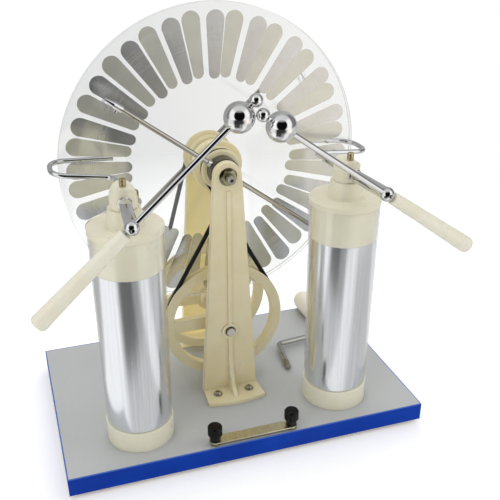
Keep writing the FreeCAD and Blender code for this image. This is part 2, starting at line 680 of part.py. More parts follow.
def collector_fork(side):
    """Bent fork, and the two points set in it that face the discs."""
    frame = head_frame(side)
    stem_points = [frame.multVec(Vector(0, y, 0)) for y in (31.0, 42.0)]
    bends = [Vector(x, y, z + BASE_TOP) for x, y, z in FORKS[side]]
    fork = sweep(rounded_path(stem_points + bends, FORK_RADII), 2.4)
    pins = []
    # start and end of the front and rear legs, the pin's place along it, its Y direction
    for start, end, fraction, heading in ((bends[0], bends[1], 0.42, 1.0),
                                          (bends[2], bends[3], 0.5, -1.0)):
        seat = start + (end - start) * fraction
        axis = Vector(0, heading, 0)
        fork = fork.cut(cylinder(0.92, 3.0, seat + axis * 0.4, axis))
        pin = cylinder(0.9, 6.6, seat + axis * 0.42, axis)
        pins.append(pin.fuse(Part.makeCone(0.9, 0.15, 2.4, seat + axis * 7.0, axis)))
    return fork, pins


left_fork, left_pins = collector_fork(LEFT)
right_fork, right_pins = collector_fork(RIGHT)
save("collector_forks", [left_fork, right_fork])
save("collector_points", left_pins + right_pins)

# ---------------------------------------------------------------- discharge arms
# Drawn in the head's frame; distances along the arm are from the pivot ball's centre
PIVOT_L = 64.8  # jar axis to the centre of the pivot ball
PIVOT_BALL_R, PIVOT_STEM_R = 6.4, 5.6
BIG_BALL_R, SMALL_BALL_R = 12.0, 5.3
ARM_R = 2.4
ARM_HOLE_R = ARM_R + 0.02
ARM_TAIL = 32.0
ARM_ANGLE = {LEFT: 43.2, RIGHT: 35.0}  # degrees above the horizontal
BIG_BALL_AT = {LEFT: 116.3, RIGHT: 122.6}
SMALL_BALL_AT = {LEFT: 133.8, RIGHT: 141.3}
HANDLE_START = 6.9
HANDLE_END = {LEFT: 110.0, RIGHT: 114.8}


def pivot_rod(centre, inward):
    """Spindle, flange, rod and ball turned as one piece, cross-drilled for the arm."""
    ball_start = -PIVOT_L + math.sqrt(PIVOT_BALL_R ** 2 - PIVOT_STEM_R ** 2)
    profile = [(0, -0.5), (AXLE_R, -0.5), (AXLE_R, -13.1), (6.1, -13.1), (6.3, -13.4),
               (6.3, -15.4), (PIVOT_STEM_R, -16.0), (PIVOT_STEM_R, ball_start)]
    points = [Vector(r, y, 0) for r, y in profile]
    ball_end = Vector(0, -PIVOT_L - PIVOT_BALL_R, 0)
    edges = [Part.makeLine(start, end) for start, end in zip(points, points[1:])]
    edges.append(arc(points[-1], Vector(PIVOT_BALL_R, -PIVOT_L, 0), ball_end))
    edges.append(Part.makeLine(ball_end, points[0]))
    rod = revolve(edge_face(edges), BACK_AXIS)
    rod = rod.cut(cylinder(ARM_HOLE_R, 30, centre - inward * 15, inward))
    rod = rod.cut(cylinder(1.6, 3.5, (0, -PIVOT_L - 7, 0), BACK_AXIS))
    return rod.removeSplitter()


def big_ball():
    """Ball with the rod's hole right through."""
    half = math.sqrt(BIG_BALL_R ** 2 - ARM_HOLE_R ** 2)
    low, high = Vector(ARM_HOLE_R, 0, -half), Vector(ARM_HOLE_R, 0, half)
    return revolve(edge_face([arc(low, Vector(BIG_BALL_R, 0, 0), high),
                              Part.makeLine(high, low)]), UP_AXIS)


def small_ball():
    """Ball with a blind hole that ends just past its centre."""
    half = math.sqrt(SMALL_BALL_R ** 2 - ARM_HOLE_R ** 2)
    corners = [Vector(0, 0, SMALL_BALL_R), Vector(0, 0, 0.05), Vector(ARM_HOLE_R, 0, 0.05),
               Vector(ARM_HOLE_R, 0, -half)]
    edges = [arc(corners[-1], Vector(SMALL_BALL_R, 0, 0), corners[0])]
    edges += [Part.makeLine(start, end) for start, end in zip(corners, corners[1:])]
    return revolve(edge_face(edges), UP_AXIS)


def arm_handle(end):
    start = HANDLE_START
    handle = turn_z([(0, start), (4.9, start), (5.6, start + 1.0), (7.7, end - 4.0),
                     (7.3, end - 2.2), (6.2, end - 0.9), (4.0, end - 0.2), (0, end)])
    return handle.cut(cylinder(ARM_HOLE_R, 28.0, (0, 0, start - 2.0)))


def discharge_arm(prefix, side):
    angle = math.radians(ARM_ANGLE[side])
    inward = Vector(-side * math.cos(angle), 0, math.sin(angle))
    centre = Vector(0, -PIVOT_L, 0)
    rod_length = SMALL_BALL_AT[side] + ARM_TAIL
    pieces = {
        "pivot_rod": pivot_rod(centre, inward),
        "discharge_rod": cylinder(ARM_R, rod_length, centre - inward * ARM_TAIL, inward),
        "big_ball": aligned(big_ball(), centre + inward * BIG_BALL_AT[side], inward),
        "small_ball": aligned(small_ball(), centre + inward * SMALL_BALL_AT[side], inward),
        "handle": aligned(arm_handle(HANDLE_END[side]), centre, inward * -1.0),
    }
    for name, piece in pieces.items():
        save("%s_%s" % (prefix, name), [on_head(piece, side)])


for prefix, side in SIDES.items():
    discharge_arm(prefix, side)

# ---------------------------------------------------------------- link between the two posts
STRIP_Z = BASE_TOP + 3.25
STRIP_T = 1.15
STRIP_HALF_W = 5.8


def link_nut():
    nut = hexagon(10.0, 3.2, (0, 0, 0)).common(cylinder(5.5, 3.2, (0, 0, 0)))
    return nut.cut(cylinder(2.02, 6, (0, 0, -1)))


def link_strip():
    """Round-ended strip: a hole at the left, a slot open to the rear at the right."""
    strip = box(-LINK_X, LINK_X, LINK_Y - STRIP_HALF_W, LINK_Y + STRIP_HALF_W,
                STRIP_Z, STRIP_Z + STRIP_T)
    for x, y in LINK_XY:
        strip = strip.fuse(cylinder(STRIP_HALF_W, STRIP_T, (x, y, STRIP_Z)))
    strip = strip.removeSplitter()
    strip = strip.cut(cylinder(2.06, 4, (-LINK_X, LINK_Y, STRIP_Z - 1)))
    strip = strip.cut(cylinder(2.3, 4, (LINK_X, LINK_Y, STRIP_Z - 1)))
    return strip.cut(box(LINK_X - 2.3, LINK_X + 2.3, LINK_Y, LINK_Y + 9,
                         STRIP_Z - 1, STRIP_Z + 3))


def knob():
    """Knob with ten grip flutes, z = 0 at the base's top."""
    low, high = 4.6, 20.8
    body = turn_z([(0, low), (4.8, low), (5.1, low + 0.4), (5.5, low + 5.0), (7.1, low + 6.8),
                   (7.1, high - 1.2), (6.2, high), (0, high)])
    for i in range(10):
        angle = math.radians(36 * i + 18)
        body = body.cut(cylinder(1.25, 12, (7.45 * math.cos(angle), 7.45 * math.sin(angle),
                                            low + 6.0)))
    return body.cut(cylinder(2.06, 14.0, (0, 0, low - 0.2)))


save("link_posts", [cylinder(2.0, 33.0, (x, y, BASE_TOP - 14.9)) for x, y in LINK_XY])
save("link_nuts", [moved(link_nut(), x, y, BASE_TOP) for x, y in LINK_XY])
save("link_strip", [link_strip()])
for prefix, side in SIDES.items():
    save(prefix + "_knob", [moved(knob(), side * LINK_X, LINK_Y, BASE_TOP)])

# ---------------------------------------------------------------- crank, loose on the base
# Centre line of the rod: (x, y, z above the base's top); the last leg carries the grip
CRANK_PATH = [(72.7, -12.0, 3.0), (77.5, 31.5, 6.35), (139.5, 37.5, 6.8), (139.5, 112.0, 12.2)]
CRANK_POINTS = [Vector(x, y, z + BASE_TOP + 0.02) for x, y, z in CRANK_PATH]


def crank_rod():
    """Bent rod with a shallow neck near its front end."""
    rod = sweep(rounded_path(CRANK_POINTS, [5.0, 5.0]), 3.0)
    heading = (CRANK_POINTS[1] - CRANK_POINTS[0]).normalize()
    neck_start = CRANK_POINTS[0] + heading * 11.0
    neck = cylinder(4.0, 1.0, neck_start, heading).cut(cylinder(2.5, 1.0, neck_start, heading))
    return rod.cut(neck)


def crank_grip():
    corner, end = CRANK_POINTS[2:]
    length = (end - corner).Length
    start = 9.0
    grip = turn_z([(0, start), (6.0, start), (7.2, start + 1.2), (8.6, start + 20),
                   (11.2, start + 55), (11.4, length - 4), (10.6, length + 1),
                   (8.4, length + 4.2), (4.5, length + 6.0), (0, length + 6.6)])
    grip = grip.cut(cylinder(3.06, length + 0.4, (0, 0, 0)))
    return aligned(grip, corner, (end - corner).normalize())


save("crank_rod", [crank_rod()])
save("crank_grip", [crank_grip()])
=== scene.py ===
"""A two-disc electrostatic machine (Wimshurst type) on a blue-edged base.

Metres, +Z up. The front of the machine faces -Y and the disc axle runs along Y. The CAD pieces get
their materials here, and brush wires, screw threads and knurls are added as meshes. A curved paper
sweep, a white room, four area lights and a camera at the front left complete the scene.
"""

import math
import random

import bpy
import bmesh
from mathutils import Matrix, Vector

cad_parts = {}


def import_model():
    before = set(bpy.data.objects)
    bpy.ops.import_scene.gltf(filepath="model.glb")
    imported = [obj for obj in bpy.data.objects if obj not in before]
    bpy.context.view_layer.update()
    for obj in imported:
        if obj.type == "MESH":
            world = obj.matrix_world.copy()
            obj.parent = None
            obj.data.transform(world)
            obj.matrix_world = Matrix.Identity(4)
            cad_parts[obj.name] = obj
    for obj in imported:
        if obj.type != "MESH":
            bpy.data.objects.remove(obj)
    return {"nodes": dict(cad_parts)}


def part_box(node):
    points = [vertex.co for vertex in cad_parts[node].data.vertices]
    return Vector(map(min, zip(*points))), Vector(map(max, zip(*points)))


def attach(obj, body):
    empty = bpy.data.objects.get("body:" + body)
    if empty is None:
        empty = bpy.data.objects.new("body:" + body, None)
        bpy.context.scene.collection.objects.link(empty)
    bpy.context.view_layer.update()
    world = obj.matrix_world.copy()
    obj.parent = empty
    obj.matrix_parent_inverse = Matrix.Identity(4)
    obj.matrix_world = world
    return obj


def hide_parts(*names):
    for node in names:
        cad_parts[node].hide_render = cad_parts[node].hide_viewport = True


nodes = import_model()["nodes"]
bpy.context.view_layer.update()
scene = bpy.context.scene
rng = random.Random(11)
MM = 0.001

# Places taken from the CAD pieces
disc_lo, disc_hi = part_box("front_disc")
disc_centre = (disc_lo + disc_hi) / 2
AXLE_X, AXLE_Z = disc_centre.x, disc_centre.z
sheet_lo, sheet_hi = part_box("base_top_sheet")
BASE = (sheet_lo + sheet_hi) / 2
TOP = sheet_hi.z                   # upper face of the base

SECTORS = 20                       # foil sectors round each disc


# ------------------------------------------------------------------ shader node helpers
def srgb(rgb):
    """A linear RGBA colour from sRGB values of 0 to 255."""
    linear = []
    for value in rgb:
        value = value / 255.0
        linear.append(value / 12.92 if value <= 0.04045 else ((value + 0.055) / 1.055) ** 2.4)
    return tuple(linear) + (1.0,)


class Nodes:
    """Short calls that add nodes to one shader tree and return output sockets."""

    def __init__(self, tree):
        self.tree = tree

    def add(self, kind, *values, props=None, **named):
        """Add a node. Inputs go by place or by name (_ for a space); None leaves one alone."""
        node = self.tree.nodes.new("ShaderNode" + kind)
        for key, value in (props or {}).items():
            setattr(node, key, value)
        for key, value in [*enumerate(values), *named.items()]:
            if value is None:
                continue
            socket = node.inputs[key if isinstance(key, int) else key.replace("_", " ")]
            if isinstance(value, bpy.types.NodeSocket):
                self.tree.links.new(value, socket)
            else:
                socket.default_value = value
        return node

    def math(self, operation, first, second=None, clamp=False):
        props = {"operation": operation, "use_clamp": clamp}
        return self.add("Math", first, second, props=props).outputs[0]

    def times(self, first, second):
        return self.math("MULTIPLY", first, second)

    def plus(self, first, second):
        return self.math("ADD", first, second)

    def length(self, x, y):
        return self.math("SQRT", self.plus(self.times(x, x), self.times(y, y)))

    def dot(self, first, second):
        props = {"operation": "DOT_PRODUCT"}
        return self.add("VectorMath", first, second, props=props).outputs["Value"]

    def xyz(self, vector):
        return tuple(self.add("SeparateXYZ", vector).outputs)

    def remap(self, value, over=(0.3, 0.7), to=(0.0, 1.0)):
        """Clamped linear map; the default range is the usual spread of a noise."""
        return self.add("MapRange", value, *over, *to).outputs[0]

    def ramp(self, value, stops):
        """Colour ramp from (position, grey level or RGB) stops."""
        node = self.add("ValToRGB")
        elements = node.color_ramp.elements
        while len(elements) < len(stops):
            elements.new(0.5)
        for element, (position, shade) in zip(elements, stops):
            element.position = position
            element.color = (*(shade if isinstance(shade, tuple) else (shade,) * 3), 1.0)
        self.tree.links.new(value, node.inputs[0])
        return node.outputs[0]

    def mix(self, factor, first, second):
        # a Mix node holds its colours at inputs 6 and 7, and their result at output 2
        unused = [None] * 5
        props = {"data_type": "RGBA"}
        return self.add("Mix", factor, *unused, first, second, props=props).outputs[2]

    def mix_shader(self, factor, first, second):
        return self.add("MixShader", factor, first, second).outputs[0]


class Material(Nodes):
    """A new material's tree, with textures laid out in object coordinates."""

    def __init__(self, name):
        self.material = bpy.data.materials.new(name)
        self.material.use_nodes = True
        super().__init__(self.material.node_tree)
        self.tree.nodes.clear()
        self.output = self.add("OutputMaterial")
        self.place = self.add("TexCoord").outputs["Object"]

    def stretched(self, stretch):
        if stretch is None:
            return self.place
        return self.add("Mapping", Scale=stretch, Vector=self.place).outputs[0]

    def vector(self, x, y, z):
        return self.add("CombineXYZ", x, y, z).outputs[0]

    def noise(self, scale=1.0, detail=3.0, rough=0.5, stretch=None, vector=None):
        if vector is None:
            vector = self.stretched(stretch)
        return self.add("TexNoise", Scale=scale, Detail=detail, Roughness=rough,
                        Vector=vector).outputs["Fac"]

    def voronoi(self, scale, stretch=None, output="Distance"):
        vector = self.stretched(stretch)
        return self.add("TexVoronoi", Scale=scale, Vector=vector).outputs[output]

    def polar(self):
        """Radius from the disc axle and angle round it."""
        x, y, z = self.xyz(self.place)
        x = self.math("SUBTRACT", x, AXLE_X)
        z = self.math("SUBTRACT", z, AXLE_Z)
        return self.length(x, z), self.math("ARCTAN2", z, x)

    def normal(self, kind="Normal"):
        return self.add("NewGeometry").outputs[kind]

    def two_tone(self, value, first, second, over=(0.3, 0.7), to=(0.0, 1.0)):
        """Blend two sRGB colours by a remapped value."""
        return self.mix(self.remap(value, over, to), srgb(first), srgb(second))

    def tint(self, color, rgb, mask, amount):
        """Lay an sRGB colour over another where the mask is high."""
        return self.mix(self.times(mask, amount), color, srgb(rgb))

    def bump(self, height, strength, depth, normal=None):
        return self.add("Bump", Strength=strength, Distance=depth, Height=height,
                        Normal=normal).outputs[0]

    def crevice(self, reach, over):
        """1 in tight corners, 0 in the open."""
        node = self.add("AmbientOcclusion", Distance=reach, props={"samples": 4})
        return self.remap(node.outputs["AO"], over, to=(1.0, 0.0))

    def rounded(self, radius):
        """The normal as if sharp edges were rounded."""
        return self.add("Bevel", Radius=radius, props={"samples": 4}).outputs[0]

    def edge(self, radius=0.0006):
        """1 on sharp edges, 0 on flats, from how far rounding turns the normal."""
        turned = self.dot(self.rounded(radius), self.normal())
        return self.remap(turned, over=(0.80, 0.99), to=(1.0, 0.0))

    def principled(self, **inputs):
        return self.add("BsdfPrincipled", **inputs).outputs[0]

    def finish(self, shader):
        self.tree.links.new(shader, self.output.inputs["Surface"])
        return self.material

    def surface(self, **inputs):
        return self.finish(self.principled(**inputs))


# ------------------------------------------------------------------ materials
def cream(name, light=(241, 237, 215), dark=(232, 227, 201), rough=0.30, corner_shade_rgb=(196, 180, 138),
          subsurface=0.15, glow=0.0, back=None):
    """Glossy moulding with painted shade in its corners, which also stands for soiling, painted
    highlights on its sharp edges and an optional painted glow; `back` colours the faces turned to
    +Y.
    """
    m = Material(name)
    cloud = m.noise(scale=28.0, detail=4.0, rough=0.55)
    fine = m.noise(scale=900.0, detail=2.0)
    color = m.two_tone(cloud, light, dark)
    # painted shade: ambient occlusion darkens tight corners towards a darker tint; it also stands
    # for soiling
    painted_corner_shade_and_grime = m.crevice(reach=0.004, over=(0.25, 0.90))
    color = m.tint(color, corner_shade_rgb, mask=painted_corner_shade_and_grime, amount=0.16)
    # handling scuffs: sparse stretched streaks
    streak = m.noise(scale=160.0, detail=6.0, rough=0.65, stretch=(1.0, 1.0, 0.15))
    scuff = m.remap(streak, over=(0.60, 0.74))
    color = m.tint(color, (240, 236, 218), mask=scuff, amount=0.20)
    # painted highlight: sharp edges are lightened towards near-white
    color = m.tint(color, (244, 240, 222), mask=m.edge(), amount=0.35)
    if back is not None:
        # the painted glow, which stands for light soaking through, fades on these faces
        facing_back = m.remap(m.xyz(m.normal("True Normal"))[1], over=(0.05, 0.45))
        color = m.mix(facing_back, color, srgb(back))
        glow = m.times(m.math("SUBTRACT", 1.0, facing_back), glow)
    roughness = m.plus(m.remap(cloud, to=(rough - 0.05, rough + 0.08)), m.times(scuff, 0.12))
    grain = m.bump(fine, strength=0.10, depth=0.00008, normal=m.rounded(0.0005))
    relief = m.bump(streak, strength=0.12, depth=0.0001, normal=grain)
    return m.surface(Base_Color=color, Roughness=roughness, Normal=relief,
                     Specular_IOR_Level=0.5, Subsurface_Weight=subsurface,
                     Subsurface_Radius=(0.005, 0.0038, 0.0016), Subsurface_Scale=1.0,
                     Coat_Weight=0.35, Coat_Roughness=0.07,
                     Emission_Color=srgb(dark), Emission_Strength=glow)


def acrylic(name, tint, disc):
    """Thin clear sheet: straight-through light, a mirror reflection, dust and scratches.

    A disc is scratched in circles and has a cloudy white cut edge with a faint painted glow; a jar
    darkens at grazing angles.
    """
    m = Material(name)
    grazing = m.add("LayerWeight", Blend=0.5).outputs["Facing"]
    side = m.times(m.math("POWER", grazing, 5.0), 0.0 if disc else 1.0)
    clear = m.add("BsdfTransparent",
                  Color=m.mix(side, (*tint, 1.0), (0.66, 0.68, 0.67, 1.0))).outputs[0]
    haze = m.remap(m.noise(scale=260.0, detail=6.0, rough=0.7, stretch=(1.0, 1.0, 1.0)),
                   over=(0.45, 0.75))
    waves = m.bump(m.noise(scale=14.0, detail=2.0, rough=0.4), strength=0.05, depth=0.002)
    mirror = m.add("BsdfGlossy", Color=(1.0, 1.0, 1.0, 1.0),
                   Roughness=m.plus(0.02, m.times(haze, 0.05)), Normal=waves).outputs[0]
    fresnel = m.plus(0.035, m.times(m.math("POWER", grazing, 5.0), 0.9))
    shader = m.mix_shader(m.math("MULTIPLY", fresnel, 0.85, clamp=True), clear, mirror)

    if disc:
        radius, angle = m.polar()
        swirl = m.vector(m.times(radius, 2600.0), m.times(angle, 1.6), 0.0)
        scratches = m.remap(m.noise(detail=4.0, rough=0.7, vector=swirl), over=(0.60, 0.80))
    else:
        upright = m.noise(scale=700.0, detail=5.0, rough=0.7, stretch=(1.0, 1.0, 0.08))
        scratches = m.remap(upright, over=(0.62, 0.82))
    dust = m.remap(m.noise(scale=1500.0, detail=2.0), over=(0.70, 0.80), to=(0.0, 0.5))
    chalky = m.add("BsdfDiffuse", Color=(0.9, 0.9, 0.88, 1.0)).outputs[0]
    soiling = m.plus(0.004, m.times(m.plus(scratches, dust), 0.035))
    shader = m.mix_shader(soiling, shader, chalky)

    if disc:
        along_axle = m.math("ABSOLUTE", m.xyz(m.normal("True Normal"))[1])
        cut = m.remap(along_axle, over=(0.55, 0.75), to=(0.55, 0.0))
        # the cloudy cut edge carries a faint emission: painted edge glow
        cloudy_edge_with_painted_glow = m.principled(Base_Color=srgb((206, 210, 210)), Roughness=0.30,
                             Emission_Color=srgb((235, 238, 238)), Emission_Strength=0.05)
        shader = m.mix_shader(cut, shader, cloudy_edge_with_painted_glow)
    return m.finish(shader)


def sector_foil(name, front):
    """Rolled foil with arc-shaped brush wear; the side glued to its disc is duller and paler."""
    m = Material(name)
    radius, angle = m.polar()
    # number of the foil: the half centres each step on a foil, the 40 keeps numbers positive
    foil_angle = math.radians(177.93 if front else 187.07)
    steps = m.math("DIVIDE", m.math("SUBTRACT", angle, foil_angle),
                   math.radians(360.0 / SECTORS))
    number = m.math("FLOOR", m.plus(steps, 40.5))
    per_foil = m.add("TexWhiteNoise", W=number, props={"noise_dimensions": "1D"}).outputs["Value"]
    # rolling marks run along each sector
    rolled = m.vector(m.times(radius, 60.0), m.times(angle, 260.0), number)
    along = m.noise(detail=5.0, rough=0.65, vector=rolled)
    cloud = m.noise(scale=45.0, detail=4.0, rough=0.6)
    # wear: concentric scratches in the outer part
    circular = m.vector(m.times(radius, 1500.0), m.times(angle, 1.5), m.times(number, 3.7))
    arcs = m.remap(m.noise(detail=3.0, rough=0.7, vector=circular), over=(0.52, 0.68))
    band = m.times(m.remap(radius, over=(0.104, 0.110)),
                   m.remap(radius, over=(0.130, 0.137), to=(1.0, 0.0)))
    wear = m.times(arcs, band)
    glued = m.remap(m.xyz(m.normal())[1], over=(-0.5, 0.5),
                    to=(0.0, 1.0) if front else (1.0, 0.0))

    color = m.two_tone(along, (196, 199, 201), (220, 222, 221))
    color = m.tint(color, (190, 187, 176), mask=m.remap(cloud, over=(0.4, 0.7)), amount=0.35)
    color = m.tint(color, (192, 188, 176), mask=per_foil, amount=0.22)
    color = m.tint(color, (238, 237, 233), mask=wear, amount=0.32)
    roughness = m.plus(m.remap(along, to=(0.15, 0.22)), m.times(wear, 0.12))
    marks = m.bump(along, strength=0.16, depth=0.00005)
    dents = m.bump(m.noise(scale=220.0), strength=0.05, depth=0.0003, normal=marks)
    worn = m.bump(wear, strength=0.08, depth=0.00003, normal=dents)
    tangent = m.add("Tangent", props={"direction_type": "RADIAL", "axis": "Y"}).outputs[0]
    bright = m.principled(Base_Color=color, Metallic=0.90, Roughness=roughness,
                          Anisotropic=0.25, Tangent=tangent, Normal=worn)

    glue = m.two_tone(along, (214, 214, 203), (230, 229, 218))
    glue = m.tint(glue, (196, 194, 178), mask=m.remap(cloud, over=(0.35, 0.7)), amount=0.4)
    glue = m.tint(glue, (228, 225, 212), mask=per_foil, amount=0.25)
    dull = m.principled(Base_Color=glue, Metallic=0.55, Roughness=0.22, Normal=dents)
    return m.finish(m.mix_shader(glued, bright, dull))


def chrome(name, light=(226, 226, 228), rough=0.05):
    """Plating with smudges and a few small pits."""
    m = Material(name)
    smudge = m.noise(scale=60.0, detail=4.0, rough=0.6)
    fine = m.noise(scale=1400.0, rough=0.6, stretch=(1.0, 1.0, 1.0))
    roughness = m.plus(m.remap(smudge, over=(0.35, 0.75), to=(rough, rough + 0.035)),
                       m.times(m.remap(fine, over=(0.6, 0.8)), 0.03))
    color = m.two_tone(smudge, light, (196, 194, 190), over=(0.4, 0.8), to=(0.0, 0.5))
    pits = m.remap(m.voronoi(scale=420.0), over=(0.0, 0.06), to=(1.0, 0.0))
    patches = m.remap(m.noise(scale=90.0, detail=2.0), over=(0.55, 0.62))
    color = m.tint(color, (120, 112, 100), mask=m.times(pits, patches), amount=0.12)
    return m.surface(Base_Color=color, Metallic=1.0, Roughness=roughness,
                     Normal=m.bump(fine, strength=0.03, depth=0.00004))


def turned_metal(name, light, dark, rough=0.3, axis="Y", scale=2600.0, spots=(120, 104, 74)):
    """Lathe-turned or drawn metal: fine lines across one axis, a little tarnish, painted shade in
    its hollows, which also stands for soiling, and painted highlights on its sharp edges.
    """
    m = Material(name)
    lines = m.noise(rough=0.6, stretch=tuple(scale if each == axis else 6.0 for each in "XYZ"))
    tarnish = m.noise(scale=130.0, detail=5.0, rough=0.65)
    color = m.two_tone(lines, light, dark)
    color = m.tint(color, spots, mask=m.remap(tarnish, over=(0.52, 0.75)), amount=0.55)
    # painted shade: ambient occlusion darkens the hollows; it also stands for soiling
    painted_corner_shade_and_grime = m.crevice(reach=0.003, over=(0.4, 0.95))
    color = m.tint(color, (58, 52, 42), mask=painted_corner_shade_and_grime, amount=0.45)
    # painted highlight: sharp edges are lightened
    color = m.tint(color, (240, 236, 226), mask=m.edge(radius=0.0003), amount=0.5)
    roughness = m.plus(m.remap(lines, to=(rough - 0.06, rough + 0.08)),
                       m.times(m.remap(tarnish, over=(0.5, 0.8)), 0.2))
    relief = m.bump(lines, strength=0.12, depth=0.00004, normal=m.rounded(0.00025))
    return m.surface(Base_Color=color, Metallic=1.0, Roughness=roughness, Normal=relief)


def jar_foil(name):
    """Bright foil round the jar: soft upright ripples, thin streaks and small creases darkened
    with painted shade.
    """
    m = Material(name)
    ripple = m.noise(detail=2.0, rough=0.4, stretch=(42.0, 42.0, 1.5))
    streak = m.noise(detail=4.0, rough=0.65, stretch=(520.0, 520.0, 5.0))
    crease = m.remap(m.noise(detail=5.0, rough=0.7, stretch=(300.0, 300.0, 60.0)),
                     over=(0.62, 0.72))
    color = m.two_tone(streak, (238, 240, 243), (222, 224, 228))
    # painted shade: the creases are darkened
    color = m.tint(color, (196, 198, 202), mask=crease, amount=0.20)
    roughness = m.plus(m.remap(streak, over=(0.3, 0.75), to=(0.16, 0.24)),
                       m.times(crease, 0.10))
    relief = m.bump(ripple, strength=0.22, depth=0.0016)
    relief = m.bump(streak, strength=0.06, depth=0.0001, normal=relief)
    relief = m.bump(crease, strength=0.05, depth=0.0001, normal=relief)
    return m.surface(Base_Color=color, Metallic=0.88, Roughness=roughness, Normal=relief)


def laminate(name):
    """Speckled grey sheet with fine scratches along X and Y."""
    m = Material(name)
    speck = m.noise(scale=1600.0, rough=0.7)
    cloud = m.noise(scale=9.0, detail=4.0, rough=0.6)
    along_y = m.remap(m.noise(detail=6.0, rough=0.75, stretch=(900.0, 40.0, 40.0)),
                      over=(0.66, 0.80))
    along_x = m.remap(m.noise(detail=6.0, rough=0.75, stretch=(50.0, 800.0, 40.0)),
                      over=(0.68, 0.82))
    color = m.two_tone(speck, (186, 189, 190), (198, 200, 200), over=(0.35, 0.65))
    color = m.tint(color, (182, 184, 184), mask=m.remap(cloud, over=(0.35, 0.7)), amount=0.30)
    color = m.tint(color, (222, 224, 224), mask=m.plus(along_y, along_x), amount=0.12)
    # painted shade: ambient occlusion darkens corners and the sheet round the parts standing on
    # it; it also stands for soiling
    painted_contact_shade_and_dirt = m.crevice(reach=0.006, over=(0.3, 0.95))
    color = m.tint(color, (120, 118, 110), mask=painted_contact_shade_and_dirt, amount=0.25)
    roughness = m.math("SUBTRACT", m.remap(cloud, to=(0.42, 0.52)),
                       m.times(m.plus(along_y, along_x), 0.08))
    return m.surface(Base_Color=color, Roughness=roughness, Specular_IOR_Level=0.45,
                     Normal=m.bump(speck, strength=0.10, depth=0.00006))


def edge_band(name):
    """Rubbed blue band; its top edge and sharp edges are paler, painted highlight together with
    wear.
    """
    m = Material(name)
    height = m.xyz(m.place)[2]
    fine = m.noise(scale=700.0, detail=4.0, rough=0.6, stretch=(0.5, 0.5, 2.0))
    cloud = m.noise(scale=18.0)
    color = m.two_tone(cloud, (0, 56, 164), (0, 64, 178), over=(0.35, 0.65))
    rub = m.remap(m.noise(scale=120.0, detail=6.0, rough=0.7, stretch=(1.0, 1.0, 4.0)),
                  over=(0.56, 0.72))
    color = m.tint(color, (20, 76, 190), mask=rub, amount=0.12)
    # painted highlight together with wear: a paler line along the top edge
    top = m.remap(height, over=(TOP - 0.0011, TOP - 0.0007))
    color = m.tint(color, (96, 132, 206), mask=top, amount=0.60)
    # painted highlight: sharp edges are lightened
    color = m.tint(color, (120, 154, 220), mask=m.edge(radius=0.0005), amount=0.5)
    return m.surface(Base_Color=color, Roughness=m.remap(fine, to=(0.42, 0.54)),
                     Specular_IOR_Level=0.12,
                     Normal=m.bump(fine, strength=0.12, depth=0.0001))


def board(name):
    """Brown fibre board with flattened chips."""
    m = Material(name)
    fibre = m.noise(detail=6.0, rough=0.7, stretch=(260.0, 260.0, 900.0))
    chip = m.voronoi(scale=520.0, stretch=(1.0, 1.0, 2.5), output="Color")
    color = m.two_tone(fibre, (168, 138, 100), (126, 98, 66))
    chips = m.mix(chip, srgb((140, 110, 76)), srgb((196, 168, 128)))
    color = m.mix(0.25, color, chips)
    return m.surface(Base_Color=color, Roughness=0.85,
                     Normal=m.bump(fibre, strength=0.4, depth=0.0004))


def rubber(name, dark=(12, 12, 13), rough=0.55):
    """Dark rubber with a grey bloom."""
    m = Material(name)
    fine = m.noise(scale=1800.0, rough=0.6)
    bloom = m.noise(scale=70.0, detail=4.0, rough=0.6)
    color = m.two_tone(bloom, dark, (30, 30, 31), over=(0.4, 0.75), to=(0.0, 0.6))
    color = m.tint(color, (46, 46, 46), mask=m.remap(fine, over=(0.6, 0.75)), amount=0.2)
    roughness = m.remap(bloom, over=(0.35, 0.7), to=(rough - 0.1, rough + 0.08))
    return m.surface(Base_Color=color, Specular_IOR_Level=0.3, Roughness=roughness,
                     Normal=m.bump(fine, strength=0.25, depth=0.00012))


def black_plastic(name):
    """Black moulding, rubbed on its faces and edges, with painted highlights on its sharp edges.
    """
    m = Material(name)
    fine = m.noise(scale=900.0, rough=0.6)
    rub = m.remap(m.noise(scale=220.0, detail=5.0, rough=0.7), over=(0.52, 0.72))
    edge = m.edge(radius=0.0004)
    color = m.tint(srgb((2, 2, 3)), (16, 16, 18), mask=rub, amount=0.18)
    # painted highlight: sharp edges are lightened
    color = m.tint(color, (40, 40, 42), mask=edge, amount=0.4)
    relief = m.bump(fine, strength=0.06, depth=0.00006, normal=m.rounded(0.0004))
    return m.surface(Base_Color=color, Roughness=m.plus(0.20, m.times(rub, 0.2)),
                     Specular_IOR_Level=0.22, Normal=relief)


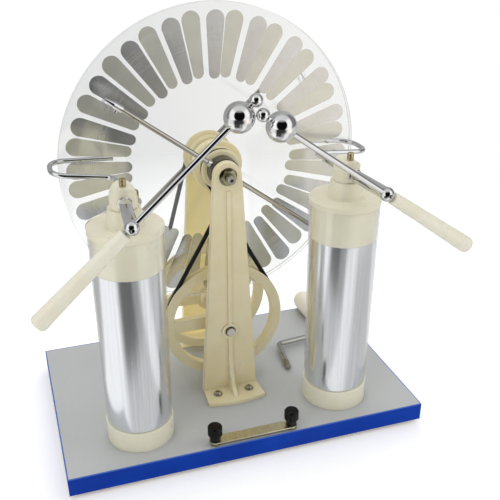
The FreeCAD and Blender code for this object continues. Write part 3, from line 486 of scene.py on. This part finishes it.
MATERIALS = {
    "cream": cream("cream_moulding"),
    "handle": cream("cream_handle", light=(249, 246, 230), dark=(243, 237, 214), rough=0.26),
    # a yellower copy of the cream: painted bounce light from inside the standards' channels
    "tower": cream("cream_tower_painted_bounce", light=(242, 232, 198), dark=(234, 222, 179),
                   corner_shade_rgb=(200, 178, 122)),
    # the rear standard: yellower still, with a glow on its front faces: painted light coming
    # through the discs from behind
    "back": cream("cream_back_painted_backlight", light=(246, 235, 190), dark=(240, 226, 170),
                  corner_shade_rgb=(214, 192, 128), subsurface=0.3, glow=0.20, back=(236, 226, 190)),
    "disc": acrylic("disc_acrylic", tint=(0.958, 0.961, 0.959), disc=True),
    "jar": acrylic("jar_acrylic", tint=(0.988, 0.990, 0.990), disc=False),
    "front_foil": sector_foil("sector_foil_front", front=True),
    "rear_foil": sector_foil("sector_foil_rear", front=False),
    "chrome": chrome("bright_chrome", rough=0.02),
    "ball": chrome("ball_chrome", light=(232, 232, 232), rough=0.0),
    "wire": chrome("wire_chrome", light=(218, 218, 216), rough=0.08),
    "rod": chrome("worn_chrome", light=(188, 184, 172), rough=0.05),
    "crank": chrome("crank_chrome", light=(178, 177, 172), rough=0.06),
    "ring": turned_metal("turned_ring", light=(150, 148, 142), dark=(96, 94, 90), rough=0.38),
    "steel": turned_metal("ground_steel", light=(214, 212, 205), dark=(168, 165, 158),
                          rough=0.36, axis="Y", scale=1800.0, spots=(92, 76, 54)),
    "zinc": turned_metal("zinc_plate", light=(206, 202, 186), dark=(168, 162, 142),
                         rough=0.28, axis="Z", scale=900.0, spots=(150, 138, 104)),
    "nickel": turned_metal("old_nickel", light=(218, 210, 178), dark=(206, 198, 166),
                           rough=0.30, axis="X", scale=700.0, spots=(186, 176, 142)),
    "olive": turned_metal("olive_nickel", light=(206, 202, 170), dark=(150, 146, 116),
                          rough=0.22, axis="Z", scale=1500.0, spots=(92, 84, 54)),
    "brass": turned_metal("screw_brass", light=(230, 218, 176), dark=(196, 180, 134),
                          rough=0.20, axis="Z", scale=1500.0, spots=(140, 118, 74)),
    "jar_foil": jar_foil("jar_foil"),
    "laminate": laminate("grey_laminate"),
    "band": edge_band("blue_band"),
    "board": board("fibre_board"),
    "rubber": rubber("belt_rubber"),
    "foot": rubber("foot_rubber", dark=(30, 30, 31), rough=0.65),
    "black": black_plastic("black_moulding"),
}

# material: the pieces that wear it
PIECES = {
    "cream": "jar_collars jar_caps jar_heads",
    "handle": "crank_grip left_handle right_handle",
    "tower": "front_standard disc_spacer front_hub rear_hub front_drive_pulley rear_drive_pulley",
    "back": "rear_standard",
    "disc": "front_disc rear_disc",
    "jar": "jar_covers jar_tumblers",
    "front_foil": "front_sectors",
    "rear_foil": "rear_sectors",
    "chrome": "fork_stems collector_forks front_neutraliser_clamps rear_neutraliser_clamps "
              "left_pivot_rod right_pivot_rod left_discharge_rod right_discharge_rod",
    "ball": "left_big_ball right_big_ball left_small_ball right_small_ball",
    "wire": "front_neutraliser_brushes rear_neutraliser_brushes",
    "rod": "front_neutraliser_rods rear_neutraliser_rods",
    "crank": "crank_rod",
    "ring": "front_neutraliser_ring rear_neutraliser_ring",
    "steel": "disc_axle drive_shaft",
    "zinc": "standard_screws axle_washers pulley_screws",
    "nickel": "link_posts link_strip",
    "olive": "axle_nuts link_nuts",
    "brass": "contact_rods head_screws collector_points",
    "jar_foil": "outer_foils inner_foils",
    "laminate": "base_top_sheet",
    "band": "base_edge_band",
    "board": "base_board",
    "rubber": "front_belt rear_belt",
    "foot": "rubber_feet",
    "black": "left_knob right_knob",
}
look = {piece: key for key, pieces in PIECES.items() for piece in pieces.split()}

for piece, obj in nodes.items():
    material = MATERIALS[look[piece]]
    if not obj.material_slots:
        obj.data.materials.append(material)
    for slot in obj.material_slots:
        slot.material = material

# Clear sheets cast no shadow, nor do the foils, which share a face with their disc
for key in ("disc", "jar", "front_foil", "rear_foil"):
    for piece in PIECES[key].split():
        nodes[piece].visible_shadow = False
        nodes[piece].visible_glossy = False
        nodes[piece].visible_diffuse = False


# ------------------------------------------------------------------ mesh helpers
def link_mesh(name, shape, material, body, smooth=True):
    """Make an object from (vertices, faces) and let it ride on a body."""
    verts, faces = shape
    mesh = bpy.data.meshes.new(name)
    mesh.from_pydata([tuple(vert) for vert in verts], [], faces)
    mesh.update()
    bm = bmesh.new()
    bm.from_mesh(mesh)
    bmesh.ops.recalc_face_normals(bm, faces=bm.faces[:])
    bm.to_mesh(mesh)
    bm.free()
    for polygon in mesh.polygons:
        polygon.use_smooth = smooth
    obj = bpy.data.objects.new(name, mesh)
    scene.collection.objects.link(obj)
    mesh.materials.append(material)
    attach(obj, body)
    return obj


def merge(shapes):
    verts, faces = [], []
    for more_verts, more_faces in shapes:
        start = len(verts)
        verts += more_verts
        faces += [tuple(i + start for i in face) for face in more_faces]
    return verts, faces


def across(axis, guide):
    """Two directions square to an axis and to each other."""
    first = axis.cross(Vector(guide)).normalized()
    return first, axis.cross(first)


def stitch(rings, sides):
    """Quads that join rings of vertices laid one after another."""
    return [(i * sides + k, i * sides + (k + 1) % sides,
             (i + 1) * sides + (k + 1) % sides, (i + 1) * sides + k)
            for i in range(rings - 1) for k in range(sides)]


def tube(points, radius, sides):
    """A round wire through points."""
    verts = []
    last = len(points) - 1
    guide = Vector((0.12, 0.3, 0.94)).normalized()
    for i, point in enumerate(points):
        along = (points[min(i + 1, last)] - points[max(i - 1, 0)]).normalized()
        first, second = across(along, guide)
        for k in range(sides):
            turn = 2 * math.pi * k / sides
            verts.append(point + (first * math.cos(turn) + second * math.sin(turn)) * radius)
    faces = stitch(len(points), sides)
    faces.append(tuple(range(sides)))
    faces.append(tuple(last * sides + k for k in range(sides))[::-1])
    return verts, faces


def thread(start, end, root, crest, pitch, steps=28):
    """A V-section ribbon wound round a core, fading in and out over one turn."""
    axis = end - start
    length = axis.length
    axis.normalize()
    first, second = across(axis, (0.3, 0.2, 0.93))
    turns = length / pitch
    count = int(turns * steps)
    sunk = root - 0.03 * MM        # foot of the V, just inside the core
    verts = []
    for i in range(count + 1):
        turn = 2 * math.pi * i / steps
        height = pitch * i / steps
        outward = first * math.cos(turn) + second * math.sin(turn)
        fade = min(1.0, i / steps, (count - i) / steps)
        tip = root + (crest - root) * fade
        section = ((-0.42 * pitch, sunk), (0.0, tip), (0.42 * pitch, sunk), (0.0, root - 0.2 * MM))
        for offset, radius in section:
            place = min(max(height + offset, 0.0), length)
            verts.append(start + axis * place + outward * radius)
    faces = stitch(count + 1, 4)
    faces.append((0, 1, 2, 3))
    faces.append(tuple(count * 4 + k for k in (3, 2, 1, 0)))
    return verts, faces


def knurl(start, axis, radius, height, count, depth):
    """Straight three-sided ridges round a turned screw head."""
    first, second = across(axis, (0.31, 0.22, 0.92))
    half = math.pi / count * 0.62  # half the angle a ridge covers
    ridges = []
    for k in range(count):
        turn = 2 * math.pi * k / count
        bottom = []
        for offset, reach in ((-half, radius - depth), (0.0, radius + depth),
                              (half, radius - depth)):
            outward = first * math.cos(turn + offset) + second * math.sin(turn + offset)
            bottom.append(start + outward * reach)
        top = [vert + axis * height for vert in bottom]
        ridges.append((bottom + top,
                       [(0, 1, 4, 3), (1, 2, 5, 4), (2, 0, 3, 5), (0, 2, 1), (3, 4, 5)]))
    return merge(ridges)


# ------------------------------------------------------------------ tinsel brushes
ROD_END = 0.1300                   # radius at which the wires leave the rods
TOUCH = 0.1165                     # mean radius at which they reach the foils
WIRES = 14                         # per brush
WIRE_STEPS = 18
WIRE_RADIUS = 0.13 * MM


def tinsel_wire(outward, sideways, y_rod, y_foil, sweep):
    """One curled wire from a rod end to just short of the foils."""
    centre = Vector((AXLE_X, 0, AXLE_Z))
    angle = rng.uniform(0, 2 * math.pi)
    spread = rng.uniform(0.1, 0.8) * MM
    end_radius = TOUCH + rng.uniform(-4.5, 4.0) * MM
    end_side = sweep * (16.0 + rng.uniform(-5.0, 3.5)) * MM
    y_end = y_foil - math.copysign(rng.uniform(0.12, 0.5) * MM, y_foil - y_rod)
    curl = rng.uniform(2.0, 5.5) * MM
    phase = rng.uniform(0, 6.28)

    scatter = (sideways * math.cos(angle) + Vector((0, math.sin(angle), 0))) * spread
    points = [centre + outward * ROD_END + Vector((0, y_rod, 0)) + scatter]
    for i in range(1, WIRE_STEPS + 1):
        part = i / WIRE_STEPS
        bow = math.sin(part * math.pi)
        radius = ROD_END + (end_radius - ROD_END) * part + bow * curl * math.cos(phase)
        side = end_side * (part ** 1.35) + bow * curl * 0.5 * math.sin(phase)
        y = y_rod + (y_end - y_rod) * (1 - (1 - part) ** 1.25)
        wiggle = Vector((math.sin(23 * part + phase), 0, math.cos(19 * part + phase)))
        points.append(centre + outward * radius + sideways * side + Vector((0, y, 0))
                      + wiggle * 0.25 * MM * bow)
    return tube(points, WIRE_RADIUS, sides=5)


def tinsel(name, body, degrees, y_rod, y_foil, sweep):
    """The brushes at both ends of one neutraliser."""
    wires = []
    for turn in (0, 180):
        angle = math.radians(degrees + turn)
        outward = Vector((math.cos(angle), 0, math.sin(angle)))
        sideways = Vector((-math.sin(angle), 0, math.cos(angle)))
        for _ in range(WIRES):
            wires.append(tinsel_wire(outward, sideways, y_rod, y_foil, sweep))
    return link_mesh(name, merge(wires), MATERIALS["wire"], body)


# side, neutraliser angle in degrees, sideways sense of the wires, outer face of the foils
for side, degrees, sweep, y_foil in (
        ("front", 143.6, 1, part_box("front_sectors")[0].y),
        ("rear", 42.0, -1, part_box("rear_sectors")[1].y)):
    rods_lo, rods_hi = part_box(side + "_neutraliser_rods")
    brushes = tinsel(side + "_tinsel", side + "_neutraliser", degrees,
                     (rods_lo.y + rods_hi.y) / 2, y_foil, sweep)
    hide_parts(side + "_neutraliser_brushes")

# ------------------------------------------------------------------ threads and knurls
PITCH = 1.0 * MM


def axle_threads():
    """Threads from each end of the disc axle to its nut."""
    axle_lo, axle_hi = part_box("disc_axle")
    nuts_lo, nuts_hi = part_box("axle_nuts")
    bare, gap = 1.0 * MM, 0.1 * MM  # left plain at the axle's end and beside the nut
    spans = ((axle_lo.y + bare, nuts_lo.y - gap), (nuts_hi.y + gap, axle_hi.y - bare))
    shape = merge([thread(Vector((AXLE_X, y_start, AXLE_Z)), Vector((AXLE_X, y_end, AXLE_Z)),
                          root=4.0 * MM, crest=4.22 * MM, pitch=PITCH)
                   for y_start, y_end in spans])
    link_mesh("axle_threads", shape, MATERIALS["olive"], "base")


def crank_thread():
    """Thread on the straight part between the crank rod's end and its bend."""
    rod_end = Vector((BASE.x + 0.0727, BASE.y - 0.0120, TOP + 0.00302))
    rod_bend = Vector((BASE.x + 0.0775, BASE.y + 0.0315, TOP + 0.00637))
    along = (rod_bend - rod_end).normalized()
    shape = thread(rod_end + along * 0.3 * MM, rod_end + along * 10.8 * MM,
                   root=3.0 * MM, crest=3.24 * MM, pitch=PITCH)
    link_mesh("crank_thread", shape, MATERIALS["olive"], "crank")


def screw_knurls():
    """Knurls on the two head screws, each set forward of its jar head and swung a little."""
    jar_x, jar_y = 0.1028, -0.0635  # from the middle of the base
    reach = 0.005                  # from the head's centre to the screw
    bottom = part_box("head_screws")[1].z - 6.1 * MM
    heads = []
    for side, swing in ((-1, -4.3), (1, 5.5)):
        turn = math.radians(swing)
        start = Vector((BASE.x + side * jar_x + reach * math.sin(turn),
                        BASE.y + jar_y - reach * math.cos(turn), bottom))
        heads.append(knurl(start, Vector((0, 0, 1)), radius=2.93 * MM, height=5.3 * MM,
                           count=22, depth=0.16 * MM))
    link_mesh("screw_knurls", merge(heads), MATERIALS["brass"], "base",
              smooth=False)


axle_threads()
crank_thread()
screw_knurls()

# ------------------------------------------------------------------ floor
# What polished surfaces see of the floor, in three rings from near to far:
# (degrees round the machine, grey level or RGB), 0 in front (-Y), positive to the right (+X)
NEAR = [(-180, 0.55), (-108, 0.55), (-98, 1.1), (-54, 1.1), (-46, 0.62), (4, 0.62), (11, 0.95),
        (30, 0.95), (40, 0.60), (86, 0.60), (93, 0.95), (135, 0.6)]
MIDDLE = [(-180, 0.5), (-108, 0.5), (-98, 1.1), (-54, 1.1), (-44, 0.07), (-17, 0.07),
          (-11, 0.32), (0, 0.32), (9, 0.95), (30, 0.95), (40, 0.56), (86, 0.56), (93, 0.95),
          (135, 0.6)]
FAR = [(-180, 0.4), (-104, 0.4), (-92, 0.9), (-62, 0.9), (-46, 0.035), (3, 0.045),
       (10, (0.26, 0.25, 0.24)), (16, (0.66, 0.62, 0.57)), (24, (1.14, 1.05, 0.97)),
       (36, (1.24, 1.16, 1.09)), (46, (1.20, 1.15, 1.10)), (62, 0.7), (180, 0.4)]


def paper_sweep():
    """White paper that fades to pure white far out; polished surfaces see the rings instead."""
    m = Material("paper_sweep")
    cloud = m.noise(scale=3.0)
    rays = m.add("LightPath").outputs
    x, y, z = m.xyz(m.place)
    x = m.math("SUBTRACT", x, BASE.x)
    y = m.math("SUBTRACT", y, BASE.y)
    distance = m.length(x, y)
    paper = m.principled(
        Base_Color=m.mix(cloud, (0.93, 0.93, 0.93, 1.0), (0.95, 0.95, 0.95, 1.0)),
        Roughness=0.9, Specular_IOR_Level=0.1,
        Normal=m.bump(m.noise(scale=900.0, detail=2.0), strength=0.02, depth=0.0001),
        Emission_Color=(1.0, 1.0, 1.0, 1.0),
        Emission_Strength=m.times(rays["Is Camera Ray"], 0.26))

    angle = m.math("ARCTAN2", x, m.times(y, -1.0))
    turn = m.plus(m.math("DIVIDE", angle, 2 * math.pi), 0.5)
    near, middle, far = [m.ramp(turn, [((degrees + 180.0) / 360.0, shade)
                                       for degrees, shade in ring])
                         for ring in (NEAR, MIDDLE, FAR)]
    seen = m.mix(m.remap(distance, over=(0.27, 0.35)), near, middle)
    seen = m.mix(m.remap(distance, over=(0.50, 0.80)), seen, far)
    reflected = m.add("Emission", Color=seen, Strength=1.0).outputs[0]
    white = m.add("Emission", Color=(1.0, 1.0, 1.0, 1.0), Strength=1.02).outputs[0]
    whiteness = m.times(rays["Is Camera Ray"], m.remap(distance, over=(0.50, 0.85)))
    direct = m.mix_shader(whiteness, paper, white)
    return m.finish(m.mix_shader(rays["Is Glossy Ray"], direct, reflected))


def make_floor():
    """A sheet that runs back and curves up, so that there is no horizon."""
    half_width = 4.0
    front, bend, radius, top = -3.2, 1.6, 1.2, 5.0
    steps = 12
    profile = [(front, 0.0), (bend, 0.0)]
    for i in range(1, steps + 1):
        turn = math.pi / 2 * i / steps
        profile.append((bend + radius * math.sin(turn), radius * (1 - math.cos(turn))))
    profile.append((bend + radius, top))
    verts = [(x, y, z) for y, z in profile for x in (-half_width, half_width)]
    faces = [(2 * i, 2 * i + 1, 2 * i + 3, 2 * i + 2) for i in range(len(profile) - 1)]
    mesh = bpy.data.meshes.new("floor")
    mesh.from_pydata(verts, [], faces)
    for polygon in mesh.polygons:
        polygon.use_smooth = True
    floor = bpy.data.objects.new("floor", mesh)
    scene.collection.objects.link(floor)
    mesh.materials.append(paper_sweep())


make_floor()

# ------------------------------------------------------------------ world
azimuth, elevation = math.radians(-17.16), math.radians(26.109)
roll = math.radians(-0.681)
# direction opposite to the camera's view
BACKWARD = Vector((math.sin(azimuth) * math.cos(elevation),
                   -math.cos(azimuth) * math.cos(elevation), math.sin(elevation)))

# Grey of the reflected room by angle from BACKWARD, from 0 (towards the camera) to 1 (opposite)
ROOM = [(0.0, 0.004), (0.20, 0.006), (0.225, 0.9), (0.25, 1.15), (0.40, 1.10), (0.46, 0.27),
        (0.78, 0.17), (0.88, 0.50), (0.93, 0.08), (1.0, 0.06)]


def make_world():
    """Plain white, except that polished surfaces see a room of light and dark bands."""
    world = bpy.data.worlds.new("studio")
    scene.world = world
    world.use_nodes = True
    background = world.node_tree.nodes["Background"]
    w = Nodes(world.node_tree)
    direction = w.add("TexCoord").outputs["Generated"]
    rays = w.add("LightPath").outputs
    angle = w.math("ARCCOSINE", w.dot(direction, tuple(BACKWARD)))
    room = w.ramp(w.math("DIVIDE", angle, math.pi), ROOM)
    overhead = w.remap(w.xyz(direction)[2], over=(0.70, 0.86), to=(0.0, 0.75))
    room = w.mix(overhead, room, (0.62, 0.63, 0.64, 1.0))
    color = w.mix(rays["Is Glossy Ray"], (1.0, 1.0, 1.0, 1.0), room)
    strength = w.remap(rays["Is Diffuse Ray"], over=(0.0, 1.0), to=(1.0, 0.56))
    world.node_tree.links.new(color, background.inputs["Color"])
    world.node_tree.links.new(strength, background.inputs["Strength"])


make_world()

# ------------------------------------------------------------------ lights
# name, place, target, width and height in metres, power in watts
LIGHTS = [
    ("key", (-1.5, -1.0, 1.7), (0, 0, 0.2), (1.1, 1.3), 10.0),
    ("fill", (1.6, -0.6, 1.3), (0, 0, 0.2), (1.0, 1.4), 7.6),
    ("top", (0.1, 0.5, 2.2), (0, 0, 0.1), (1.8, 1.2), 6.0),
    ("back", (0.3, 1.5, 1.0), (0, 0, 0.2), (1.8, 1.2), 8.8),
]

for name, place, target, size, power in LIGHTS:
    light = bpy.data.lights.new(name, "AREA")
    light.shape = "RECTANGLE"
    light.size, light.size_y = size
    light.energy = power
    lamp = bpy.data.objects.new(name, light)
    scene.collection.objects.link(lamp)
    lamp.location = place
    lamp.rotation_mode = "QUATERNION"
    lamp.rotation_quaternion = (Vector(target) - Vector(place)).to_track_quat("-Z", "Y")
    lamp.visible_glossy = False


# ------------------------------------------------------------------ camera
def make_camera():
    """Camera at the front left, looking down at the machine, rolled slightly."""
    data = bpy.data.cameras.new("camera")
    camera = bpy.data.objects.new("camera", data)
    scene.collection.objects.link(camera)
    data.sensor_fit = "HORIZONTAL"
    data.sensor_width = 36.0
    data.lens = 53.68824
    data.shift_x = 0.043096
    data.shift_y = 0.017792
    data.clip_start, data.clip_end = 0.02, 50.0
    level = Vector((0, 0, 1)).cross(BACKWARD).normalized()
    upright = BACKWARD.cross(level)
    right = level * math.cos(roll) + upright * math.sin(roll)
    up = -level * math.sin(roll) + upright * math.cos(roll)
    rotation = Matrix((right, up, BACKWARD)).transposed().to_4x4()
    place = Vector((BASE.x - 0.191414, BASE.y - 0.647839, TOP + 0.473220))
    camera.matrix_world = Matrix.Translation(place) @ rotation
    scene.camera = camera


make_camera()
scene.view_settings.view_transform = "Standard"
scene.view_settings.look = "None"
scene.view_settings.exposure = 0.0
scene.view_settings.gamma = 1.0
